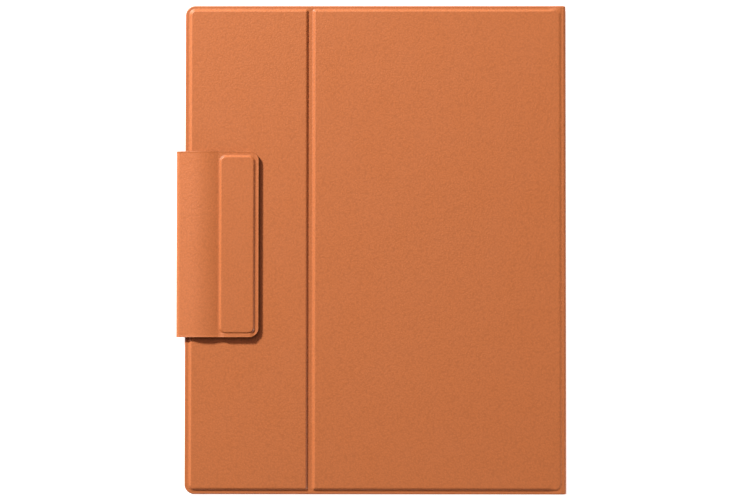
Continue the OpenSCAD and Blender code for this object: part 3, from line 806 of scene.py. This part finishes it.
def strap_legs(root, wall, tip):
    """Out of the rim, up the wall, over the edge, down a little to the pad and on to the tip."""
    out, upright, level = math.pi, math.pi / 2, 0.0
    return [(root, out, out), (LOWER_CORNER_L, out, upright), (wall, upright, upright),
            (UPPER_CORNER_L, upright, CREST_ANGLE), (CREST_L, CREST_ANGLE, CREST_ANGLE),
            (ARCH_L, CREST_ANGLE, DIP_ANGLE), (LEVEL_L, DIP_ANGLE, level), (tip, level, level)]


def strap_course():
    """The strap's middle line, and how far along it each leg ends."""
    s, x, z, _ = walk(strap_legs(0.0, 0.0, 0.0))
    wall = TONGUE_MID_Z - z[-1]
    corner_x = x[np.searchsorted(s, LOWER_CORNER_L)]
    root = corner_x - (STRAP_OUTER_X + STRAP_T / 2)
    tip = TIP_X - (x[-1] - root)
    legs = strap_legs(root, wall, tip)
    return (*walk(legs), np.cumsum([leg[0] for leg in legs]))


strap_s, strap_x, strap_z, strap_turn, leg_ends = strap_course()
TIP_S = float(strap_s[-1])
WALL_S = float(leg_ends[1] + leg_ends[2]) / 2
PAD_S = TIP_S - PAD_TO_TIP - PAD_W


def strap_place(u, v, h):
    """Where a point is that lies that far along the strap, across it and outside its middle line."""
    x, z = np.interp(u, strap_s, strap_x), np.interp(u, strap_s, strap_z)
    turn = np.interp(u, strap_s, strap_turn)
    past = np.maximum(u - TIP_S, 0)
    return np.column_stack([x - h * np.sin(turn) + past, v, z + h * np.cos(turn)])


def pad_lift(u, v):
    """0 outside the pad and 1 on it."""
    low = (PAD_S, CLASP_Y0 + PAD_MARGIN_LOW)
    high = (PAD_S + PAD_W, CLASP_Y1 - PAD_MARGIN_HIGH)
    return raised(u, v, low, high, (PAD_CORNER_R, PAD_CORNER_R), PAD_SLOPE, PAD_RIGHT_SLOPE)


def outer_lift(u, v):
    """The pad, and the thicker margin below its lower end, where the pad's cover is turned in."""
    below = smooth((PAD_W / 2 - abs(u - PAD_S - PAD_W / 2)) / LOWER_MARGIN_FADE_U)
    below = below * (1 - smooth((v - CLASP_Y0 - PAD_MARGIN_LOW) / LOWER_MARGIN_FADE_V))
    return np.maximum(PAD_RISE * pad_lift(u, v), LOWER_MARGIN_RISE * below)


def lip(u, v):
    """The strap's edges stand up a little, as a cut edge does."""
    edge = depth_inside(u, v, (-FAR, CLASP_Y0), (TIP_S, CLASP_Y1), (0.0, TIP_CORNER_R))
    return LIP_RISE * (1 - np.clip(edge / LIP_W, 0, 1)) ** 1.5


def strap_half_thickness(u):
    """The strap thins where it goes into the back cover's rim."""
    full = smooth((u - ROOT_THIN_L) / ROOT_THIN_FADE)
    return STRAP_T / 2 * (ROOT_SHARE + (1 - ROOT_SHARE) * full)


def strap_piece(name, s0, s1, rolls, radii, zones):
    """The strap from s0 to s1 along its middle line."""
    vs = grid_lines(CLASP_Y0 + STRAP_ROLL, CLASP_Y1 - STRAP_ROLL, STRAP_GRID_V,
                    [(CLASP_Y0, CLASP_Y0 + STRAP_ZONE), (CLASP_Y1 - STRAP_ZONE, CLASP_Y1)])
    us = grid_lines(s0 + rolls[0], s1 - rolls[1], STRAP_GRID_U, zones)
    # The strap's edge gets the dark edge paint, which is partly painted shade for the dark line along its right
    # and lower edges
    return sheet(name, us, vs, lambda u, v: strap_half_thickness(u) + outer_lift(u, v) + lip(u, v),
                 lambda u, v: -strap_half_thickness(u) - INNER_PAD_RISE * pad_lift(u, v),
                 rolls, radii, [leather, edge_paint_and_shade, lining], strap_place)


lower_strap = strap_piece("clasp_lower_leather", 0.0, WALL_S, (0.0, 0.0, STRAP_ROLL, STRAP_ROLL),
                          (0.0, 0.0), [])
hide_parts("clasp_root_strap", "clasp_wall_strap")
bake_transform(lower_strap)

pad_zones = [(PAD_S - PAD_ZONE_OUT, PAD_S + PAD_ZONE_IN), (PAD_S + PAD_W - PAD_ZONE_IN, TIP_S)]
upper_strap = strap_piece("clasp_tongue_leather", WALL_S, TIP_S, (0.0, STRAP_ROLL, STRAP_ROLL, STRAP_ROLL),
                          (0.0, TIP_CORNER_R - STRAP_ROLL), pad_zones)
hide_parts("clasp_tongue_skin", "clasp_tongue_lining")
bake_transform(upper_strap)
